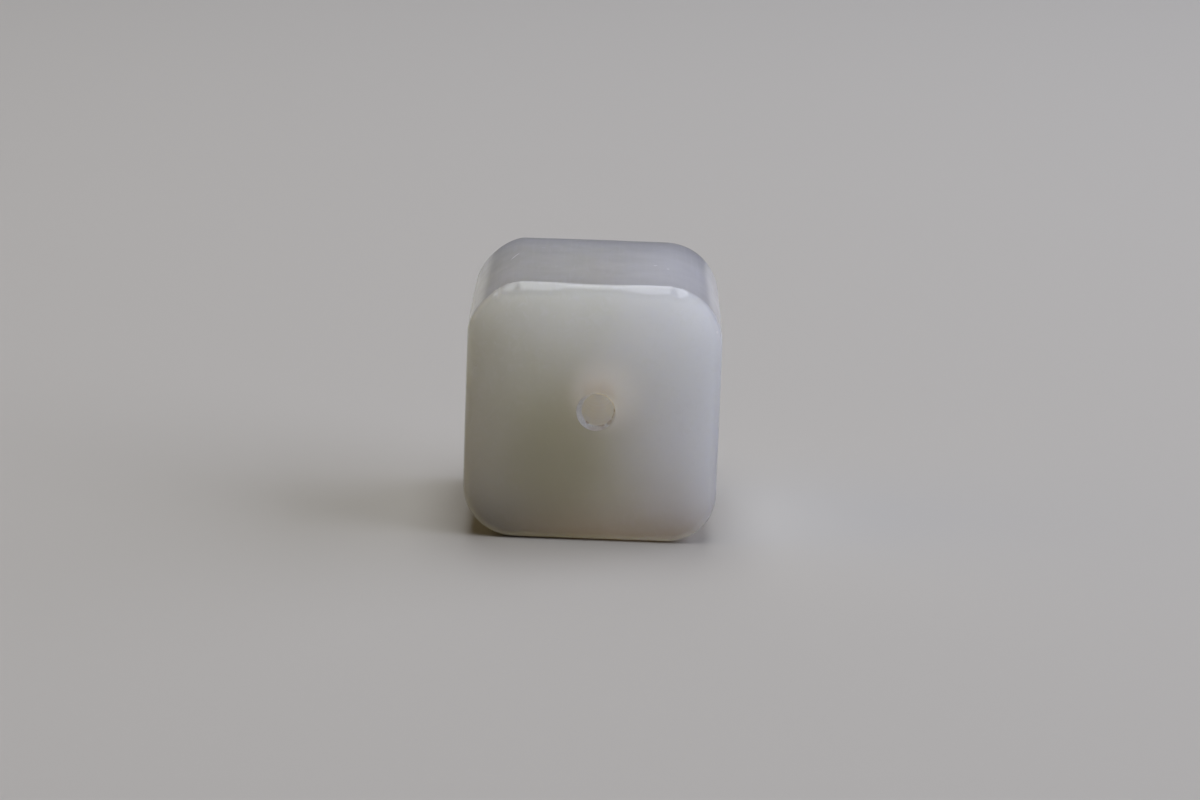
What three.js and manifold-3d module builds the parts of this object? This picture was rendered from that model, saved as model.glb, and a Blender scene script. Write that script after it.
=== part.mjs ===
// A pendant cut from one piece of white jade: nearly a cube, with its long edges
// widely rounded and a cord bore drilled from end to end.
//
// Millimetres, +Z up. The stone stands on its underside with the bore along Y, and
// the origin is the middle of its footprint.
import * as THREE from "three";
import { mergeVertices } from "three/addons/utils/BufferGeometryUtils.js";
import Module from "manifold-3d";

// The stone's overall sizes.
const WIDTH = 12.0; // side to side, along X
const DEPTH = 12.0; // end to end, along Y and the bore
const HEIGHT = 12.3; // underside to top, along Z

// The four long edges, ground and polished by hand, so no two are quite alike.
const TOP_RIGHT_RADIUS = 2.65;
const TOP_LEFT_RADIUS = 2.35;
const BOTTOM_LEFT_RADIUS = 2.45;
const BOTTOM_RIGHT_RADIUS = 2.3;

// The fine round where each end meets the sides.
const END_ROUND = 0.4;

// The cord bore, drilled a little off the middle, and its countersunk mouths.
const BORE_DIAMETER = 1.5;
const BORE_RIGHT_OF_MIDDLE = 0.25;
const BORE_ABOVE_MIDDLE = 0.16;
const MOUTH_DIAMETER = 1.84;
const MOUTH_DEPTH = 0.2;

// How finely the round surfaces are divided.
const CORNER_STEPS = 16;
const END_ROUND_STEPS = 6;
const BORE_SIDES = 48;

// The drill and the countersink run this far out past the ends.
const DRILL_OVERRUN = 1.0;

const JADE_COLOUR = 0xe6e5dd;
const JADE_ROUGHNESS = 0.22;

const wasm = await Module();
wasm.setup();

// A closed geometry as a solid that can be cut.
function solidOf(geometry) {
  geometry.deleteAttribute("normal");
  geometry.deleteAttribute("uv");
  const merged = mergeVertices(geometry);
  return new wasm.Manifold(
    new wasm.Mesh({
      numProp: 3,
      vertProperties: merged.attributes.position.array,
      triVerts: new Uint32Array(merged.index.array),
    }),
  );
}

// A cut solid as a geometry again.
function geometryOf(solid) {
  const mesh = solid.getMesh();
  const geometry = new THREE.BufferGeometry();
  geometry.setAttribute("position", new THREE.BufferAttribute(mesh.vertProperties, 3));
  geometry.setIndex(new THREE.BufferAttribute(mesh.triVerts, 1));
  geometry.computeVertexNormals();
  return geometry;
}

// The stone's outline as seen from one end, about its middle, anticlockwise from the
// start of the top right corner.
function endOutline() {
  const right = WIDTH / 2;
  const top = HEIGHT / 2;
  const corners = [
    { acrossSign: 1, upSign: 1, radius: TOP_RIGHT_RADIUS },
    { acrossSign: -1, upSign: 1, radius: TOP_LEFT_RADIUS },
    { acrossSign: -1, upSign: -1, radius: BOTTOM_LEFT_RADIUS },
    { acrossSign: 1, upSign: -1, radius: BOTTOM_RIGHT_RADIUS },
  ];
  const outline = new THREE.Shape();
  corners.forEach(({ acrossSign, upSign, radius }, quarter) => {
    const start = (quarter * Math.PI) / 2;
    const across = acrossSign * (right - radius);
    const up = upSign * (top - radius);
    outline.absarc(across, up, radius, start, start + Math.PI / 2, false);
  });
  return outline.closePath();
}

// The undrilled block: the outline run from end to end, with both ends rounded over.
function roundedBlock() {
  const block = new THREE.ExtrudeGeometry(endOutline(), {
    depth: DEPTH - 2 * END_ROUND,
    bevelThickness: END_ROUND,
    bevelSize: END_ROUND,
    bevelOffset: -END_ROUND,
    bevelSegments: END_ROUND_STEPS,
    curveSegments: CORNER_STEPS / 2, // an arc is divided into twice this many steps
  });
  block.translate(0, 0, END_ROUND - DEPTH / 2);
  return block.rotateX(Math.PI / 2);
}

// What the drill and the countersink take away: a rod with a flare at each end.
function boreCutter() {
  const boreRadius = BORE_DIAMETER / 2;
  const flareSlope = (MOUTH_DIAMETER / 2 - boreRadius) / MOUTH_DEPTH;
  const tip = DEPTH / 2 + DRILL_OVERRUN;
  const flareStart = DEPTH / 2 - MOUTH_DEPTH;
  const tipRadius = boreRadius + flareSlope * (tip - flareStart);
  const profile = [
    new THREE.Vector2(0, -tip),
    new THREE.Vector2(tipRadius, -tip),
    new THREE.Vector2(boreRadius, -flareStart),
    new THREE.Vector2(boreRadius, flareStart),
    new THREE.Vector2(tipRadius, tip),
    new THREE.Vector2(0, tip),
  ];
  const cutter = new THREE.LatheGeometry(profile, BORE_SIDES);
  return cutter.translate(BORE_RIGHT_OF_MIDDLE, 0, BORE_ABOVE_MIDDLE);
}

function jadeCube() {
  const drilled = solidOf(roundedBlock()).subtract(solidOf(boreCutter()));
  const jade = new THREE.MeshStandardMaterial({
    color: JADE_COLOUR,
    roughness: JADE_ROUGHNESS,
    metalness: 0,
  });
  const cube = new THREE.Mesh(geometryOf(drilled), jade);
  cube.name = "jade_cube";
  cube.position.set(0, 0, HEIGHT / 2);
  return cube;
}

const pendant = new THREE.Group();
pendant.name = "jade_pendant";
pendant.add(jadeCube());

export default pendant;
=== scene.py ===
# %% [markdown]
# # A drilled cube of white jade
#
# The object is a pendant cut from one piece of white jade: nearly a cube, with its
# long edges widely rounded and a cord bore drilled from end to end. This lesson takes
# the plain solid that carries the true sizes and gives it the surface of a stone that
# was ground, drilled and polished by hand.

# %% Load the frame
import math

import bmesh
import bpy
from mathutils import Matrix, Vector


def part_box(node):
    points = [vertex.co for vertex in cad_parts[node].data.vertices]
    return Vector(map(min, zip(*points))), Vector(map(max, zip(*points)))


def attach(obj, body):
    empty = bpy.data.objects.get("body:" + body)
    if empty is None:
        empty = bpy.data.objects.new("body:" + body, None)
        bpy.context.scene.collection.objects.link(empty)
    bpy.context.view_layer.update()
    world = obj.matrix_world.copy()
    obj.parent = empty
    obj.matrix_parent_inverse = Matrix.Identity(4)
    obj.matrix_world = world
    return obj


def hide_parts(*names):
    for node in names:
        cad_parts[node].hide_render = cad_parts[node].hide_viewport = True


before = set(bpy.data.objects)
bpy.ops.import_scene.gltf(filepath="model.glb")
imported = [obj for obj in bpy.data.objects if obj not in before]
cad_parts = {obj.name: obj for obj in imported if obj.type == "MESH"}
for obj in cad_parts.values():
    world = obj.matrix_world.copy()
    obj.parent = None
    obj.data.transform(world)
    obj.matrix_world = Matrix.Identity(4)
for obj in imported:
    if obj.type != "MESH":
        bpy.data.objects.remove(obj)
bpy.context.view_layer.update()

MM = 0.001
stone_low, stone_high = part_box("jade_cube")
WIDTH, DEPTH, HEIGHT = stone_high - stone_low
MIDDLE = (stone_low + stone_high) / 2
print("stone, mm:", [round(size / MM, 3) for size in (WIDTH, DEPTH, HEIGHT)])

# %% [markdown]
# ## The camera
#
# The camera looks at one end of the stone from a little above, through a long lens, so
# the sides hardly draw together. It is rolled slightly, as a camera held by hand is. A
# Track To constraint could aim it, but it would also level it, so the camera's three
# axes are written out instead and put into its matrix.

# %% Set the camera
CAMERA_ELEVATION = math.radians(12.79)
CAMERA_ROLL = math.radians(2.05)
CAMERA_DISTANCE = 199.2 * MM
CAMERA_LENS = 126.9
AIM_RIGHT = 0.34 * MM
AIM_UP = 6.67 * MM

front_foot = Vector((0, stone_low.y, stone_low.z))
level_right = Vector((1, 0, 0))
level_up = Vector((0, math.sin(CAMERA_ELEVATION), math.cos(CAMERA_ELEVATION)))
backward = level_right.cross(level_up)
rolled_right = level_right * math.cos(CAMERA_ROLL) + level_up * math.sin(CAMERA_ROLL)
rolled_up = backward.cross(rolled_right)
aim = front_foot + level_right * AIM_RIGHT + level_up * AIM_UP
camera_place = aim + backward * CAMERA_DISTANCE

camera_data = bpy.data.cameras.new("end_view")
camera_data.lens = CAMERA_LENS
camera_data.clip_start = 1 * MM
camera = bpy.data.objects.new("end_view", camera_data)
bpy.context.scene.collection.objects.link(camera)
camera_axes = Matrix((rolled_right, rolled_up, backward)).transposed()
camera.matrix_world = Matrix.Translation(camera_place) @ camera_axes.to_4x4()
bpy.context.scene.camera = camera
print("camera at, mm:", [round(part / MM, 2) for part in camera_place])

# %% [markdown]
# ## Shader maths
#
# A material is a web of nodes, and maths is the bulk of it. This class wraps one output
# socket, so that a sum or product of sockets can be written as a sum or product and the
# Math nodes are added on the way.


# %% A socket that can be used in maths
class Wire:
    """An output socket of a node tree, with Python's operators on it."""

    def __init__(self, tree, socket=None):
        self.tree = tree
        self.socket = socket

    def node(self, kind, settings=None, inputs=None, output=0):
        """Adds a node: its settings first, then the values or wires of its sockets."""
        made = self.tree.nodes.new(kind)
        for name, value in (settings or {}).items():
            if name == "stops":
                self.set_stops(made.color_ramp, value)
            else:
                setattr(made, name, value)
        for key, value in (inputs or {}).items():
            if isinstance(value, Wire):
                self.tree.links.new(value.socket, made.inputs[key])
            else:
                made.inputs[key].default_value = value
        return None if output is None else Wire(self.tree, made.outputs[output])

    @staticmethod
    def set_stops(ramp, stops):
        """Gives a colour ramp its stops, each a place from 0 to 1 and a grey value."""
        while len(ramp.elements) < len(stops):
            ramp.elements.new(1)
        for element, (place, grey) in zip(ramp.elements, stops):
            element.position = place
            element.color = (grey, grey, grey, 1)

    def math(self, operation, first, second):
        """A Math node on two values or wires."""
        return self.node("ShaderNodeMath", {"operation": operation}, {0: first, 1: second})

    def __add__(self, other):
        return self.math("ADD", self, other)

    def __radd__(self, other):
        return self.math("ADD", other, self)

    def __mul__(self, other):
        return self.math("MULTIPLY", self, other)

    def __rmul__(self, other):
        return self.math("MULTIPLY", other, self)

    def ramp(self, *stops):
        """This value through a colour ramp of grey stops."""
        return self.node("ShaderNodeValToRGB", {"stops": stops}, {"Fac": self})

    def blend(self, low, high):
        """A colour that goes from low to high as this value goes from 0 to 1."""
        return self.node(
            "ShaderNodeMix",
            {"data_type": "RGBA"},
            {"Factor": self, "A": low, "B": high},
            "Result",
        )


# %% [markdown]
# ## Picking by place
#
# By hand, edges and faces are picked by clicking on them. A script could pick them by
# their numbers, but those change with every cut, so it picks them by place instead.


# %% Helpers for working in edit mode
def pick(piece, kind, test):
    """Selects the vertices, edges or faces that pass a test, and returns how many did."""
    bpy.ops.mesh.select_mode(type=kind)
    bpy.ops.mesh.select_all(action="DESELECT")
    mesh = bmesh.from_edit_mesh(piece.data)
    parts = {"VERT": mesh.verts, "EDGE": mesh.edges, "FACE": mesh.faces}[kind]
    chosen = [part for part in parts if test(part)]
    for part in chosen:
        part.select_set(True)
    bmesh.update_edit_mesh(piece.data)
    return len(chosen)


def run_along(edge, axis):
    """How far an edge runs along one axis."""
    start, end = edge.verts
    return abs(start.co[axis] - end.co[axis])


def middle_of(edge):
    """The point halfway along an edge."""
    start, end = edge.verts
    return (start.co + end.co) / 2


# %% [markdown]
# ## The stone
#
# The pendant is one solid piece of jade. A slice of the rough stone is sawn into a cube,
# and everything else is ground off it. The CAD solid could be reshaped point by point, but
# its long thin triangles can't be bent or dented evenly. So a cube is added at the stone's
# size and worked in the order in which a cutter works.

# %% Block out the stone
bpy.ops.object.select_all(action="DESELECT")
bpy.ops.mesh.primitive_cube_add(size=1, location=MIDDLE, scale=(WIDTH, DEPTH, HEIGHT))
stone = bpy.context.active_object
stone.name = "polished_jade_cube"
bpy.ops.object.transform_apply(location=False, rotation=False, scale=True)
print("block, mm:", [round(size / MM, 3) for size in stone.dimensions])

# %% [markdown]
# ## The long edges
#
# The four long edges are ground round by hand, so no two have the same radius, and the
# top left one is a little flatter than a true arc. A Bevel modifier would give them all
# one width. Each is bevelled on its own instead, with its own radius and profile.

# %% Round the four long edges
CORNER_STEPS = 48
# Places that are closer together than this count as the same.
HAIR = 0.001 * MM

# Side of the stone, up or down, radius, and roundness: half is a true arc, less is flatter.
LONG_EDGES = {
    "top right": (1, 1, 2.65 * MM, 0.5),
    "top left": (-1, 1, 2.35 * MM, 0.42),
    "bottom left": (-1, -1, 2.45 * MM, 0.5),
    "bottom right": (1, -1, 2.3 * MM, 0.5),
}

bpy.ops.object.mode_set(mode="EDIT")
for across_sign, up_sign, radius, roundness in LONG_EDGES.values():
    sharp_corner = Vector((across_sign * WIDTH / 2, 0, up_sign * HEIGHT / 2))
    pick(stone, "EDGE", lambda edge: (middle_of(edge) - sharp_corner).length < HAIR)
    bpy.ops.mesh.bevel(
        offset=radius,
        segments=CORNER_STEPS,
        profile=roundness,
        affect="EDGES",
        clamp_overlap=False,
    )
print("long edges rounded:", list(LONG_EDGES))

# %% [markdown]
# ## The ends
#
# Where each end meets the sides the edge is only eased, by a few strokes on the polishing
# wheel, so its round is far smaller than those of the long edges. A Bevel modifier limited
# by angle could do it, but the outline of each end is easily picked by its place along the
# stone, so it is bevelled in one go.

# %% Ease the edges of both ends
END_ROUND = 0.4 * MM
END_ROUND_STEPS = 8
HALF_DEPTH = DEPTH / 2

end_edges = pick(stone, "EDGE", lambda edge: abs(abs(middle_of(edge).y) - HALF_DEPTH) < HAIR)
bpy.ops.mesh.bevel(offset=END_ROUND, segments=END_ROUND_STEPS, affect="EDGES", clamp_overlap=False)
print("edges eased:", end_edges)

# %% [markdown]
# The flats are still single faces, and only a fine, even mesh can be crowned, waved and
# dented. A Subdivision Surface modifier would divide the rounds as well, which are fine
# enough by now, so only the long edges are divided.

# %% Divide the flats
FLAT_CUTS = 47
LENGTH_CUTS = 49
LONG_RUN = 5 * MM

across_flats = pick(stone, "EDGE", lambda edge: max(run_along(edge, 0), run_along(edge, 2)) > LONG_RUN)
bpy.ops.mesh.subdivide(number_cuts=FLAT_CUTS)
along_stone = pick(stone, "EDGE", lambda edge: run_along(edge, 1) > LONG_RUN)
bpy.ops.mesh.subdivide(number_cuts=LENGTH_CUTS)
print("edges divided:", across_flats, "across and", along_stone, "along")

# %% [markdown]
# ## The bore
#
# The bore is drilled with a wet abrasive drill, and each mouth is then opened with a
# small countersink held by hand, so the countersink sits off the bore's axis and leaves
# a crescent on one side. A Boolean could drill it, but it would leave one huge many-sided
# face on each end. Here each end's rim is extruded in place, drawn into a circle and
# shrunk to the mouth, so spokes run from the rim to the bore and the end is made of
# four-sided faces.


# %% Helpers for finding rims and spokes
LONG_SPOKE = 3 * MM


def rim_at(edge, along):
    """Whether an edge borders a gap and lies across the stone at this distance along it."""
    return edge.is_boundary and abs(middle_of(edge).y - along) < HAIR


def spoke_at(edge, along):
    """Whether an edge runs from the rim to the mouth of the end at this distance along."""
    return abs(middle_of(edge).y - along) < HAIR and edge.calc_length() > LONG_SPOKE


def loop_radius(piece):
    """Mean distance of the selected points from their middle."""
    mesh = bmesh.from_edit_mesh(piece.data)
    points = [vertex.co.copy() for vertex in mesh.verts if vertex.select]
    middle = sum(points, Vector()) / len(points)
    return sum((point - middle).length for point in points) / len(points)


# %% Open and countersink both mouths
BORE_RADIUS = 0.75 * MM
BORE_AXIS = Vector((0.25, 0, 0.16)) * MM
MOUTH_RADIUS = 0.92 * MM
MOUTH_DEPTH = 0.2 * MM
MOUTH_SLIP = Vector((-0.085, 0, -0.05)) * MM
END_RINGS = 23

pick(stone, "FACE", lambda face: len(face.verts) > 4)
bpy.ops.mesh.delete(type="ONLY_FACE")
for side in (-1, 1):
    end = side * HALF_DEPTH
    end_middle = MIDDLE + Vector((0, end, 0))
    pick(stone, "EDGE", lambda edge: rim_at(edge, end))
    bpy.ops.mesh.extrude_edges_move()
    bpy.ops.transform.tosphere(value=1, center_override=end_middle)
    mouth_share = MOUTH_RADIUS / loop_radius(stone)
    bpy.ops.transform.resize(value=(mouth_share, 1, mouth_share), center_override=end_middle)
    bpy.ops.transform.translate(value=BORE_AXIS + MOUTH_SLIP)
    pick(stone, "EDGE", lambda edge: spoke_at(edge, end))
    bpy.ops.mesh.subdivide(number_cuts=END_RINGS)
    mouth_edges = pick(stone, "EDGE", lambda edge: rim_at(edge, end))
    inward = Vector((0, -side * MOUTH_DEPTH, 0))
    bpy.ops.mesh.extrude_edges_move(TRANSFORM_OT_translate={"value": inward - MOUTH_SLIP})
    narrowing = BORE_RADIUS / MOUTH_RADIUS
    bore_middle = end_middle + BORE_AXIS
    bpy.ops.transform.resize(value=(narrowing, 1, narrowing), center_override=bore_middle)
    print("mouth opened with", mouth_edges, "edges")

# %% Drill from mouth to mouth
BORE_RINGS = 47

bore_edges = pick(stone, "EDGE", lambda edge: edge.is_boundary)
bpy.ops.mesh.bridge_edge_loops(number_cuts=BORE_RINGS, interpolation="LINEAR")
bpy.ops.mesh.select_all(action="SELECT")
bpy.ops.mesh.normals_make_consistent(inside=False)
print("bore drilled between", bore_edges, "edges")

# %% [markdown]
# ## The wear of the mouths
#
# A cord rubs on the edges of a mouth and takes their sharpness off. A bevel over the whole
# stone would be simpler, but only these rings are worn, so they are picked out by how deep
# they lie and how far they are from the bore's axis.


# %% Wear the edges of the mouths
MOUTH_WEAR = 0.035 * MM
MOUTH_WEAR_STEPS = 3


def from_bore(point):
    """Distance of a point from the bore's axis, counted from the stone's middle."""
    return math.hypot(point.x - BORE_AXIS.x, point.z - BORE_AXIS.z)


def from_mouth(point):
    """Distance of a point from the countersinks' axis, counted from the stone's middle."""
    return from_bore(point - MOUTH_SLIP)


def is_mouth_edge(edge):
    """Whether an edge runs round the outer or the inner edge of a countersink."""
    middle = middle_of(edge)
    depth = HALF_DEPTH - abs(middle.y)
    is_ring = run_along(edge, 1) < HAIR
    outer = abs(depth) < HAIR and from_mouth(middle) < MOUTH_RADIUS + HAIR
    inner = abs(depth - MOUTH_DEPTH) < HAIR and from_bore(middle) < BORE_RADIUS + HAIR
    return is_ring and (outer or inner)


worn_edges = pick(stone, "EDGE", is_mouth_edge)
bpy.ops.mesh.bevel(
    offset=MOUTH_WEAR,
    segments=MOUTH_WEAR_STEPS,
    affect="EDGES",
    clamp_overlap=False,
)
print("mouth edges worn:", worn_edges)

# %% [markdown]
# ## Crowned faces
#
# No face of a hand-polished stone is quite flat: it falls away towards its edges by a
# few hundredths of a millimetre. The faces could be scaled ring by ring with proportional
# editing, but a Cast modifier does it in one go, by drawing the whole skin a little
# towards a ball. A vertex group keeps the bore out of it.

# %% Crown the faces
CROWN = 0.018
SKIN_START = 1.05 * MM

pick(stone, "VERT", lambda vertex: from_bore(vertex.co) > SKIN_START)
bpy.ops.object.vertex_group_assign_new()
bpy.ops.object.mode_set(mode="OBJECT")
stone.vertex_groups.active.name = "skin"
crown = stone.modifiers.new("crown", "CAST")
crown.cast_type = "SPHERE"
crown.use_radius_as_size = False
crown.size = min(WIDTH, DEPTH, HEIGHT) / 2
crown.factor = CROWN
crown.vertex_group = "skin"
bpy.ops.object.modifier_apply(modifier="crown")
print("crowned, mm:", [round(size / MM, 3) for size in stone.dimensions])

# %% [markdown]
# ## The marks of hand work
#
# The skin is faintly wavy, the front's top edge was ground unevenly and catches the light
# in a broken line, and the bottom edge has lost a flake. These could be painted as bump,
# but then the outline and the highlights would stay those of a machined block. So the skin
# is really moved: a vertex group says how much at each point, and a Displace modifier
# sinks it along its normals.


# %% Helpers that sink the skin
def press(piece, name, depth, share_at, pattern=None):
    """Sinks a piece along its normals, by the share of a depth that each point gets."""
    group = piece.vertex_groups.new(name=name)
    shares = {vertex.index: share_at(vertex) for vertex in piece.data.vertices}
    touched = [index for index, share in shares.items() if share > 0]
    for index in touched:
        group.add([index], min(shares[index], 1), "REPLACE")
    sink = piece.modifiers.new(name, "DISPLACE")
    sink.vertex_group = name
    sink.strength = -depth
    sink.mid_level = 0
    if pattern:
        sink.texture = pattern
        sink.texture_coords = "LOCAL"
    bpy.ops.object.modifier_apply(modifier=name)
    print(name, "moved", len(touched), "points")


def ease(value, start, end):
    """Goes smoothly from 0 at the start to 1 at the end."""
    part = min(max((value - start) / (end - start), 0), 1)
    return part * part * (3 - 2 * part)


def between(value, stops):
    """Goes smoothly from stop to stop, each a place and a share, and is 0 outside them."""
    for (start, low), (end, high) in zip(stops, stops[1:]):
        if start <= value <= end:
            return low + (high - low) * ease(value, start, end)
    return 0


# %% [markdown]
# A stone held to the wheel by hand comes off faintly wavy, and the waves bend whatever the
# polish mirrors. They could be sculpted with a brush, but a cloud texture gives them to
# every face at once. They come in slowly round the mouths, so that those stay round.

# %% Leave the faint waves of hand polishing
WAVE_DEPTH = 0.02 * MM
WAVE_LENGTH = 2.0 * MM

waves = bpy.data.textures.new("polish_waves", "CLOUDS")
waves.noise_scale = WAVE_LENGTH
waves.noise_depth = 1


def skin_share(vertex):
    """Leaves the mouths as they are and comes in slowly round them."""
    return ease(from_bore(vertex.co), SKIN_START, 2 * SKIN_START)


press(stone, "waves", WAVE_DEPTH, skin_share, waves)

# %% [markdown]
# The round between the front and the top was ground in several strokes, so it is flatter in
# some places than in others. A bevel could be given a width of its own at each stroke, but
# then the strokes would end in steps. So the round is pressed towards a flat slant, by a
# share that rises and falls along the edge.

# %% Grind the front's top edge
EDGE_DEPTH = 0.15 * MM
# Millimetres from the middle of the edge, left to right, and the share taken off there.
EDGE_STOPS = [
    (-4.84, 0.0),
    (-4.58, 0.95),
    (-4.44, 0.0),
    (-3.84, 1.0),
    (-3.42, 0.50),
    (-2.40, 0.60),
    (-0.70, 0.0),
    (0.70, 0.0),
    (2.40, 0.60),
    (3.36, 0.50),
    (3.80, 0.95),
    (4.34, 0.0),
]
EDGE_SLANT = math.radians(45)
EDGE_LOWEST = 4.5 * MM


def edge_share(vertex):
    """How much the wheel took off the round between the front and the top at a point."""
    point = vertex.co
    if point.y > END_ROUND - HALF_DEPTH or point.z < EDGE_LOWEST:
        return 0
    normal = vertex.normal
    turned = math.atan2(math.hypot(normal.x, normal.z), -normal.y)
    flat = math.cos(EDGE_SLANT) / math.cos(turned - EDGE_SLANT)
    return between(point.x / MM, EDGE_STOPS) * max(1 - flat, 0) / (1 - math.cos(EDGE_SLANT))


press(stone, "ground_edge", EDGE_DEPTH, edge_share)

# %% [markdown]
# A knock took a flake off the bottom edge. A Boolean with a ball could cut it out, but it
# would break up the even mesh for so small a mark, so a shallow bowl is pressed in.

# %% Knock a flake off the bottom edge
FLAKE_DEPTH = 0.1 * MM
FLAKE_REACH = 0.24 * MM
FLAKE = Vector((-3.06, -5.9, -6.05)) * MM


def flake_share(vertex):
    """Falls from 1 at the middle of the flake to 0 at its rim, like a shallow bowl."""
    part = (vertex.co - FLAKE).length / FLAKE_REACH
    return max(1 - part * part, 0)


press(stone, "flake", FLAKE_DEPTH, flake_share)

# %% [markdown]
# ## Into place
#
# So far the stone's points were counted from its own middle, which kept the sizes above
# easy to read. Now its place goes into the mesh. The shading is smooth over every round
# and still breaks at anything sharper than the angle given here.

# %% Set the stone in its place
SHARP_ANGLE = math.radians(40)

bpy.ops.object.transform_apply(location=True, rotation=False, scale=False)
bpy.ops.object.shade_smooth_by_angle(angle=SHARP_ANGLE)
print("faces:", len(stone.data.polygons))

# %% [markdown]
# ## Polished jade
#
# Jade is a felt of fine pale fibres. Light goes some way into it before it comes out
# again, so the lit top and right spill over into the front, and the far corner glows
# warm because red travels further than blue. A see-through shader with a volume inside
# would be truer but very slow, so subsurface scattering does it.


# %% Helpers for the stone's finishes
JADE_IOR = 1.61


def translucent(name, reach):
    """A new stone material in which light travels this far, in millimetres for each colour."""
    material = bpy.data.materials.new(name)
    material.use_nodes = True
    shader = material.node_tree.nodes["Principled BSDF"]
    shader.inputs["IOR"].default_value = JADE_IOR
    shader.inputs["Subsurface Weight"].default_value = 1
    shader.inputs["Subsurface Radius"].default_value = reach
    shader.inputs["Subsurface Scale"].default_value = MM
    place = Wire(material.node_tree).node("ShaderNodeTexCoord", output="Object")
    return material, shader, place


def feed(wire, shader, socket):
    """Links a wire to one of a shader's sockets."""
    wire.tree.links.new(wire.socket, shader.inputs[socket])


def fade(value, start, end):
    """Goes smoothly from 0 where the value is at the start to 1 at the end."""
    return value.node(
        "ShaderNodeMapRange",
        {"interpolation_type": "SMOOTHSTEP"},
        {"Value": value, "From Min": start, "From Max": end},
    )


def noise(place, scale, detail, distortion=0.0):
    """A soft random value of this many waves a metre."""
    sockets = {"Vector": place, "Scale": scale, "Detail": detail, "Distortion": distortion}
    return place.node("ShaderNodeTexNoise", inputs=sockets)


def stretched(place, scale, turn):
    """The place, turned and with its axes stretched or squeezed."""
    return place.node("ShaderNodeMapping", inputs={"Vector": place, "Rotation": turn, "Scale": scale})


# A dot has faded out at this many times its size, and the draw of lots this far past its mark.
DOT_EDGE = 1.4
LOT_EDGE = 0.01


def dots(place, scale, size, rarity):
    """Small dots, one in some of the cells of a random pattern."""
    cells = {"Vector": place, "Scale": scale}
    near = place.node("ShaderNodeTexVoronoi", inputs=cells)
    centre = near.ramp((0, 1), (size, 1), (DOT_EDGE * size, 0))
    lot = place.node("ShaderNodeTexVoronoi", inputs=cells, output="Color")
    return centre * lot.ramp((rarity, 0), (rarity + LOT_EDGE, 1))


def smear(place, middle, half_sizes, turn=(0, 0, 0), core=0.4):
    """A soft spot: 1 in its core, falling to 0 at its half sizes along its own axes."""
    inside = place.node(
        "ShaderNodeMapping",
        {"vector_type": "TEXTURE"},
        {"Vector": place, "Location": middle, "Rotation": turn, "Scale": half_sizes},
    )
    away = place.node("ShaderNodeVectorMath", {"operation": "LENGTH"}, {0: inside}, "Value")
    return fade(away, 1, core)


# %% [markdown]
# The colour is built up in layers: broad clouds, fine fibres, white flecks and dark specks,
# and three patches of painted light and shade: a paler upper right, painted where the window
# lights the stone, a grey patch of painted shade low on the front, and a paler patch round
# the bore, leaning to the upper right, painted for the glow that gathers there. A painted
# picture could hold all this, but patterns worked out from the place on the stone need no
# picture and run right through it.

# %% Colour the jade
# Waves and cells are counted along a metre, and a dot's size is a share of its cell.
GLOW_REACH = (36, 35, 28)
JADE_PALE = (0.83, 0.825, 0.72, 1)
JADE_CLOUD = (0.74, 0.735, 0.61, 1)
CLOUD_WAVES = 220
# Painted light: the upper right of the stone, where the window lights it, is painted paler.
LIT_SIDE_JADE = (0.93, 0.925, 0.91, 1)
LIT_SIDE_STRENGTH = 0.9
LIT_SIDE_MIDDLE = Vector((4.4, -6.0, 2.0)) * MM
LIT_SIDE_HALF_SIZES = Vector((5.8, 30, 8.5)) * MM
JADE_FIBRE = (0.86, 0.85, 0.80, 1)
FIBRE_STRENGTH = 0.35
FIBRE_WAVES = 2400
FIBRE_STRETCH = (1, 0.22, 1)
FIBRE_TURN = (0.5, 0.3, 0.7)
JADE_FLECK = (0.95, 0.95, 0.92, 1)
FLECK_STRENGTH = 0.5
FLECK_CELLS = 620
FLECK_SIZE = 0.06
FLECK_RARITY = 0.72
# Painted shade: a grey patch low on the front, where little light reaches.
SHADE_GREY_JADE = (0.50, 0.495, 0.385, 1)
SHADE_GREY_STRENGTH = 0.85
SHADE_GREY_MIDDLE = Vector((-1.5, -6.0, -2.6)) * MM
SHADE_GREY_HALF_SIZES = Vector((5.0, 5, 6.6)) * MM
# Painted light: the stone is painted paler round the bore, leaning to the upper right, for the glow
# that gathers there.
GLOW_PALE_JADE = (0.96, 0.94, 0.89, 1)
GLOW_PALE_LEAN = Vector((0.7, 0, 1.0)) * MM
GLOW_PALE_HALF_SIZES = (2.4 * MM, 1, 2.4 * MM)
JADE_SPECK = (0.30, 0.25, 0.19, 1)
SPECK_CELLS = 260
SPECK_SIZE = 0.018
SPECK_RARITY = 0.8
SPECK_PLACE = Vector((-5.5, -5.9, 2.1)) * MM
SPECK_HALF_SIZES = Vector((0.07, 0.07, 0.07)) * MM

jade, jade_shader, place = translucent("polished_jade", GLOW_REACH)
bore_place = MIDDLE + BORE_AXIS
clouds = noise(place, CLOUD_WAVES, detail=4, distortion=0.6).ramp((0.35, 0), (0.65, 1))
painted_lit_side = smear(place, MIDDLE + LIT_SIDE_MIDDLE, LIT_SIDE_HALF_SIZES, core=0.3)
painted_shade_patch = smear(place, MIDDLE + SHADE_GREY_MIDDLE, SHADE_GREY_HALF_SIZES, core=0.1)
felt = stretched(place, FIBRE_STRETCH, FIBRE_TURN)
fibres = noise(felt, FIBRE_WAVES, detail=3, distortion=1.2).ramp((0.5, 0), (0.75, 1))
flecks = dots(place, FLECK_CELLS, FLECK_SIZE, FLECK_RARITY)
specks = dots(place, SPECK_CELLS, SPECK_SIZE, SPECK_RARITY)
painted_glow_patch = smear(place, bore_place + GLOW_PALE_LEAN, GLOW_PALE_HALF_SIZES, core=0.3)
dark_speck = smear(place, MIDDLE + SPECK_PLACE, SPECK_HALF_SIZES)

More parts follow.
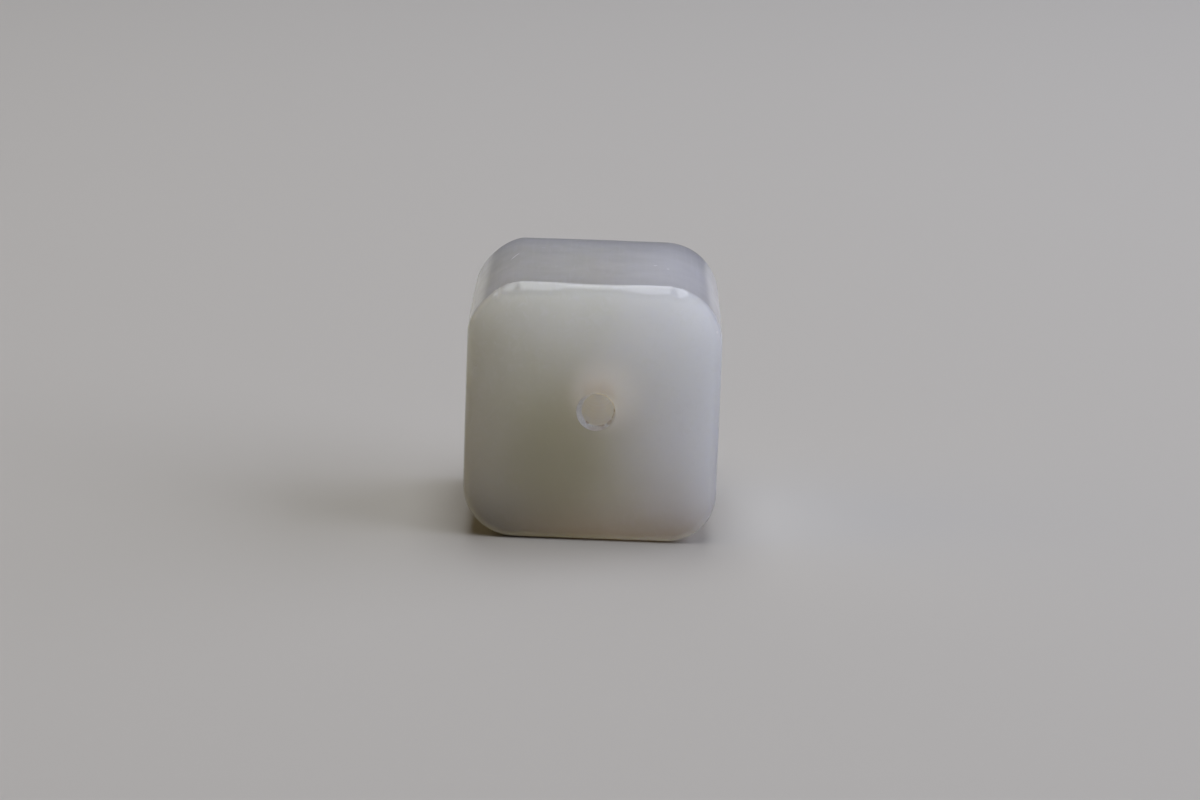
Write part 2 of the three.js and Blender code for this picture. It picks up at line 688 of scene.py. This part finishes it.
colour = clouds.blend(JADE_CLOUD, JADE_PALE)
colour = (painted_lit_side * LIT_SIDE_STRENGTH).blend(colour, LIT_SIDE_JADE)
colour = (fibres * FIBRE_STRENGTH).blend(colour, JADE_FIBRE)
colour = (flecks * FLECK_STRENGTH).blend(colour, JADE_FLECK)
colour = (painted_shade_patch * SHADE_GREY_STRENGTH).blend(colour, SHADE_GREY_JADE)
colour = painted_glow_patch.blend(colour, GLOW_PALE_JADE)
colour = specks.blend(colour, JADE_SPECK)
colour = dark_speck.blend(colour, JADE_SPECK)
print("bruise leans by, mm:", [round(part / MM, 2) for part in GLOW_PALE_LEAN])

# %% [markdown]
# A few scuffs are on the skin itself: a scratch along the left shoulder, two short rubs on
# the top and a nick on the right edge, whose white spot is partly a painted glint. The
# bruised stone in them is whiter and dull. Each is a long or a round soft spot with a
# place, a size and a direction of its own.

# %% Scuff the skin
SCUFF_AND_GLINT_JADE = (0.97, 0.95, 0.91, 1)
SCUFF_STRENGTH = 0.8
# Place from the stone's middle and half sizes, in millimetres, and turn about the upright.
SCUFFS = {
    "shoulder scratch": ((-4.0, 0.85, 6.12), (0.035, 1.0, 0.3), -0.31),
    "first rub": ((2.75, -0.6, 6.15), (0.12, 0.05, 0.2), 0.4),
    "second rub": ((3.35, -1.3, 6.15), (0.10, 0.05, 0.2), -0.5),
    # The nick's whiter spot is partly a painted glint.
    "edge nick glint": ((5.72, -5.93, 4.1), (0.11, 0.11, 0.11), 0),
}

scuffs_and_glint = None
for scuff, half_sizes, turn in SCUFFS.values():
    spot = smear(place, MIDDLE + Vector(scuff) * MM, Vector(half_sizes) * MM, (0, 0, turn))
    scuffs_and_glint = spot if scuffs_and_glint is None else scuffs_and_glint + spot
feed((scuffs_and_glint * SCUFF_STRENGTH).blend(colour, SCUFF_AND_GLINT_JADE), jade_shader, "Base Color")
print("scuffs:", list(SCUFFS))

# %% [markdown]
# Round the bore the real stone glows warm, because light that has soaked into it is turned
# back by the inside of the polished skin. The walk that subsurface scattering takes leaves
# that out and lets this light escape through the bore. A very faint glow, leaning to the
# upper right, where the bore takes most, gives it back.

# %% Give back the light that the bore takes
SOAKED_LIGHT = (1.0, 0.91, 0.74, 1)
NO_LIGHT = (0, 0, 0, 1)
HALO_LEVEL = 0.07
HALO_LEAN = Vector((0.3, 0, 0.85)) * MM
HALO_HALF_SIZES = (2.2 * MM, 1, 2.2 * MM)

halo = smear(place, bore_place + HALO_LEAN, HALO_HALF_SIZES, core=0.1)
feed(halo.blend(NO_LIGHT, SOAKED_LIGHT), jade_shader, "Emission Color")
jade_shader.inputs["Emission Strength"].default_value = HALO_LEVEL
print("halo level:", HALO_LEVEL)

# %% [markdown]
# The polish is bright but not optical: it is hazy in patches, hairlines from handling
# cross it in all directions, and close to, it has the faint dimples that stone-cutters call
# orange peel. Haze and hairlines only change how rough the skin is, and the dimples are a
# few thousandths of a millimetre deep, so they are bump.

# %% Polish the jade
POLISH = 0.12
HAZE = 0.05
HAZE_WAVES = 420
SCUFF_DULL = 0.25
ORANGE_PEEL = 0.0025 * MM
ORANGE_PEEL_WAVES = 1500
HAIRLINE = 0.03
HAIRLINE_WAVES = 5200
HAIRLINE_STRETCH = (1, 0.02, 1)
HAIRLINE_TURNS = [(0.2, 0.1, 0.4), (1.1, 0.6, 1.2), (0.4, 1.5, 2.0)]

haze = noise(place, HAZE_WAVES, detail=3).ramp((0.4, 0), (0.7, 1))
dullness = POLISH + haze * HAZE + scuffs_and_glint * SCUFF_DULL
for turn in HAIRLINE_TURNS:
    drawn = stretched(place, HAIRLINE_STRETCH, turn)
    hairlines = noise(drawn, HAIRLINE_WAVES, detail=1).ramp((0.55, 0), (0.8, 1))
    dullness = dullness + hairlines * HAIRLINE
feed(dullness, jade_shader, "Roughness")
skin = noise(place, ORANGE_PEEL_WAVES, detail=2)
dimples = place.node("ShaderNodeBump", inputs={"Height": skin, "Distance": ORANGE_PEEL})
feed(dimples, jade_shader, "Normal")
stone.data.materials.append(jade)
print("polish:", POLISH, "with hairlines in", len(HAIRLINE_TURNS), "directions")

# %% [markdown]
# ## Ground jade
#
# Inside the bore the stone was ground by the drill and never polished: it is matt,
# whiter, and ringed by the drill's turns. The rings could be cut into the mesh, but they
# are finer than a hair, so they are bump. Light that soaks through the stone collects in
# the bore, and as above a very faint glow makes up for what the walk loses.

# %% Make the ground jade
GROUND_REACH = (24, 22, 17)
GROUND_JADE = (0.985, 0.96, 0.9, 1)
GROUND_TURN = (0.95, 0.91, 0.83, 1)
GROUND_ROUGHNESS = 0.55
SOAKED_LEVEL = 0.019
DRILL_GROOVE = 0.006 * MM
DRILL_WAVES = 4200
DRILL_STRETCH = (0.04, 1, 0.04)
MOUTH_BROWN = (0.42, 0.28, 0.17, 1)
# Place from the bore's middle and half sizes, in millimetres, and how dark the smear is.
# The first smears are dirt on the right of the mouth; the last three make it darker towards
# its bottom.
MOUTH_SMEARS = [
    ((0.75, -5.82, 0.02), (0.09, 0.17, 0.13), 0.9),
    ((0.71, -5.79, -0.24), (0.08, 0.12, 0.32), 0.55),
    ((0.58, -5.84, -0.56), (0.22, 0.20, 0.22), 0.42),
    ((0.20, -5.79, -0.73), (0.34, 0.12, 0.08), 0.5),
    ((-0.46, -5.79, -0.59), (0.15, 0.12, 0.13), 0.6),
    ((0.05, -5.90, -0.90), (0.72, 0.25, 0.28), 0.32),
]


def smudged(place, colour):
    """A colour with brown dirt on the right of the front mouth and darker towards its bottom."""
    for spot, half_sizes, strength in MOUTH_SMEARS:
        darkening = smear(place, bore_place + Vector(spot) * MM, Vector(half_sizes) * MM)
        colour = (darkening * strength).blend(colour, MOUTH_BROWN)
    return colour


ground, ground_shader, place = translucent("ground_jade", GROUND_REACH)
ground_shader.inputs["Roughness"].default_value = GROUND_ROUGHNESS
ground_shader.inputs["Emission Color"].default_value = SOAKED_LIGHT
ground_shader.inputs["Emission Strength"].default_value = SOAKED_LEVEL
turns = noise(stretched(place, DRILL_STRETCH, (0, 0, 0)), DRILL_WAVES, detail=3)
ringed = turns.ramp((0.4, 0), (0.6, 1)).blend(GROUND_TURN, GROUND_JADE)
feed(smudged(place, ringed), ground_shader, "Base Color")
grooves = place.node("ShaderNodeBump", inputs={"Height": turns, "Distance": DRILL_GROOVE})
feed(grooves, ground_shader, "Normal")
stone.data.materials.append(ground)
print("dirt smears:", len(MOUTH_SMEARS))

# %% [markdown]
# ## Frosted jade
#
# The countersink crushed the skin of each mouth into a fine white frost. Less light gets
# through it, so its lit side shows as a bluish white crescent. On the side away from the
# light a warm colour is painted in, for the warm light that soaks through the stone round
# it, and the whole ring has a faint painted glow, strongest at its upper right. A coat of
# white on the polished jade could give that, but it is another surface, matt and gritty,
# so it has a finish of its own.

# %% Make the frosted jade
FROSTED_JADE = (0.84, 0.845, 0.86, 1)
FROST_DOTS = (0.96, 0.965, 0.97, 1)
FROST_DEPTH = 0.55
FROST_ROUGHNESS = 0.45
FROST_GRIT = 0.006 * MM
GRIT_WAVES = 9000
# Painted glow: the frost's emission, strongest at the upper right of the ring and dim elsewhere.
FROST_LEVEL = 0.145
FROST_DIM = (0.08, 0.072, 0.055, 1)
FROST_LEAN = Vector((0.3, 0, 0.9)) * MM
FROST_HALF_SIZES = (1.3 * MM, 1, 1.3 * MM)
# Painted light: the warm colour on the upper right of the ring, away from the lamps.
PAINTED_WARM_FROST = (0.84, 0.76, 0.63, 1)
WARM_LEAN = Vector((0.6, 0, 0.6)) * MM
WARM_HALF_SIZES = (1.35 * MM, 1, 1.35 * MM)

frosted, frosted_shader, place = translucent("frosted_jade", GROUND_REACH)
frosted_shader.inputs["Roughness"].default_value = FROST_ROUGHNESS
frosted_shader.inputs["Subsurface Weight"].default_value = FROST_DEPTH
frosted_shader.inputs["Emission Strength"].default_value = FROST_LEVEL
glowing = smear(place, bore_place + FROST_LEAN, FROST_HALF_SIZES, core=0.3)
feed(glowing.blend(FROST_DIM, SOAKED_LIGHT), frosted_shader, "Emission Color")
grit = noise(place, GRIT_WAVES, detail=2)
frost = grit.ramp((0.45, 0), (0.6, 1)).blend(FROSTED_JADE, FROST_DOTS)
painted_warm_side = smear(place, bore_place + WARM_LEAN, WARM_HALF_SIZES, core=0.3)
frost = painted_warm_side.blend(frost, PAINTED_WARM_FROST)
feed(smudged(place, frost), frosted_shader, "Base Color")
pits = place.node("ShaderNodeBump", inputs={"Height": grit, "Distance": FROST_GRIT})
feed(pits, frosted_shader, "Normal")
stone.data.materials.append(frosted)
print("frost lets in", FROST_DEPTH, "of the light")

# %% [markdown]
# ## Each face its finish
#
# The three finishes meet on one stone, so the bore and the mouths aren't pieces of their
# own: their faces are picked by place and given another material slot.


# %% Give the bore and the mouths their finishes
def is_bore_face(face):
    """Whether a face is part of the drilled wall."""
    return from_bore(face.calc_center_median() - MIDDLE) < BORE_RADIUS + 10 * HAIR


def is_mouth_face(face):
    """Whether a face is part of a countersink."""
    middle = face.calc_center_median() - MIDDLE
    depth = HALF_DEPTH - abs(middle.y)
    return 2 * HAIR < depth < MOUTH_DEPTH and from_mouth(middle) < MOUTH_RADIUS


bpy.ops.object.mode_set(mode="EDIT")
for slot, test in ((1, is_bore_face), (2, is_mouth_face)):
    finished = pick(stone, "FACE", test)
    stone.active_material_index = slot
    bpy.ops.object.material_slot_assign()
    print(stone.data.materials[slot].name, "on", finished, "faces")
bpy.ops.object.mode_set(mode="OBJECT")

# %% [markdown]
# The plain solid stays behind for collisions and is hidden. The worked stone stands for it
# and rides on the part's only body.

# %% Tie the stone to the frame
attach(stone, "root")
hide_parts("jade_cube")
print(stone.name, "stands for jade_cube")

# %% [markdown]
# ## The floor
#
# The stone stands on a plain pale floor. The camera and the polish see it pale, but it
# throws little light back, so that the stone's lower left stays as dim as it is. Light
# that has crossed the stone leaves through its underside and returns from the floor. A
# faint warm glow that only the underside can see stands in for it. A second, hidden floor
# could do the same, but one floor that asks what kind of ray meets it is simpler.


# %% Helpers that part what is seen from what lights
def shown(tree):
    """1 for what the camera sees, directly, mirrored or through something clear, else 0."""
    path = Wire(tree)
    rays = ("Is Camera Ray", "Is Glossy Ray", "Is Transmission Ray")
    seen, mirrored, through = [path.node("ShaderNodeLightPath", output=ray) for ray in rays]
    return seen + mirrored + through


def mix(factor, first, second):
    """One shader where the factor is 0 and another where it is 1."""
    sockets = {0: factor, 1: first, 2: second}
    return factor.node("ShaderNodeMixShader", inputs=sockets)


# %% Lay the floor
FLOOR_SIZE = 6.0
FLOOR_PALE = (0.62, 0.59, 0.55, 1)
FLOOR_BOUNCE = (0.06, 0.05, 0.04, 1)
UNDER_GLOW = (0.145, 0.10, 0.058, 1)
UNDER_PLACE = Vector((2.4, 0, 0)) * MM
UNDER_HALF_SIZES = Vector((9.5, 9, 9)) * MM

bpy.ops.object.select_all(action="DESELECT")
bpy.ops.mesh.primitive_plane_add(size=FLOOR_SIZE, location=(0, 0, 0))
floor = bpy.context.active_object
floor.name = "floor"
paper = bpy.data.materials.new("floor")
paper.use_nodes = True
paper.node_tree.nodes.clear()
place = Wire(paper.node_tree).node("ShaderNodeTexCoord", output="Object")
pale = place.node("ShaderNodeBsdfDiffuse", inputs={"Color": FLOOR_PALE})
dim = place.node("ShaderNodeBsdfDiffuse", inputs={"Color": FLOOR_BOUNCE})
glow = place.node("ShaderNodeEmission", inputs={"Color": UNDER_GLOW})
under = smear(place, UNDER_PLACE, UNDER_HALF_SIZES, core=0.3)
surface = mix(shown(paper.node_tree), mix(under, dim, glow), pale)
place.node("ShaderNodeOutputMaterial", inputs={"Surface": surface}, output=None)
floor.data.materials.append(paper)
print("floor:", FLOOR_SIZE, "m across")

# %% [markdown]
# ## The lamps
#
# A soft lamp hangs over the stone and another behind it, both narrow, so that their mirror
# images break where the front's top edge was ground unevenly. A large cool window stands
# at the right, with a small panel that draws the bright line down the right edge, and a dim
# warm fill at the left. Seen from the left, the flat top would mirror the window as one
# white sheet, so the window only lights and is not mirrored. The stone is so small that a
# lamp's distance hardly matters, so each is given by where it stands, how large it is and
# how much it lights.


# %% Set the lamps
def softbox(name, place, size, level, colour, mirrored):
    """A soft lamp that lights the stone at a level where 1 shows a colour as it is written."""
    lamp = bpy.data.lights.new(name, "AREA")
    lamp.shape = "RECTANGLE"
    lamp.size, lamp.size_y = size
    aim = MIDDLE - Vector(place)
    lamp.energy = level * (math.pi * aim.length) ** 2
    lamp.color = colour
    holder = bpy.data.objects.new(name, lamp)
    holder.location = place
    holder.rotation_euler = aim.to_track_quat("-Z", "Y").to_euler()
    holder.visible_camera = False
    holder.visible_glossy = mirrored
    bpy.context.scene.collection.objects.link(holder)
    print(name, "at level", level)


COOL = (0.90, 0.94, 1.0)
WINDOW_BLUE = (0.79, 0.83, 1.0)
WARM = (1.0, 0.80, 0.45)

# Place, width and height in metres, level, colour, and whether the polish mirrors it.
LAMPS = {
    "overhead": ((0, 0, 0.40), (0.21, 0.52), 0.47, COOL, True),
    "top_back": ((0, 0.24, 0.33), (0.16, 0.40), 0.14, COOL, True),
    "right_window": ((0.36, 0.04, 0.19), (0.70, 0.40), 0.90, WINDOW_BLUE, False),
    "right_panel": ((0.352, -0.152, 0.122), (0.17, 0.20), 0.05, COOL, True),
    "left_fill": ((-0.32, -0.03, 0.20), (0.30, 0.30), 0.13, WARM, True),
}

for lamp_name, lamp_settings in LAMPS.items():
    softbox(lamp_name, *lamp_settings)

# %% [markdown]
# ## The room
#
# Behind the stone the room is dusk grey, which the polished top mirrors, and it gives
# almost no light of its own. A plain grey world would do both at once, but then the
# shaded side would be filled in, so what is seen and what lights are kept apart.

# %% Set the room
ROOM_SHOWN = (0.12, 0.11, 0.13, 1)
ROOM_LIGHT = (0.012, 0.01, 0.008, 1)

world = bpy.data.worlds.new("studio")
world.use_nodes = True
world.node_tree.nodes.clear()
room = Wire(world.node_tree)
dusk = room.node("ShaderNodeBackground", inputs={"Color": ROOM_SHOWN})
dim = room.node("ShaderNodeBackground", inputs={"Color": ROOM_LIGHT})
surface = mix(shown(world.node_tree), dim, dusk)
room.node("ShaderNodeOutputWorld", inputs={"Surface": surface}, output=None)
bpy.context.scene.world = world
bpy.context.scene.view_settings.view_transform = "Standard"
print("room shows", ROOM_SHOWN[:3])

# %% [markdown]
# Light bounces many times between the walls of the bore before it comes out, so more
# bounces are allowed than usual.

# %% Allow enough bounces
ALL_BOUNCES = 20
SOFT_BOUNCES = 16

bpy.context.scene.cycles.max_bounces = ALL_BOUNCES
bpy.context.scene.cycles.diffuse_bounces = SOFT_BOUNCES
print("bounces:", ALL_BOUNCES)

# %% [markdown]
# ## The sizes
#
# The worked stone has to stay inside the box of the plain solid, since everything above
# only takes material away.

# %% Update the view layer
bpy.context.view_layer.update()
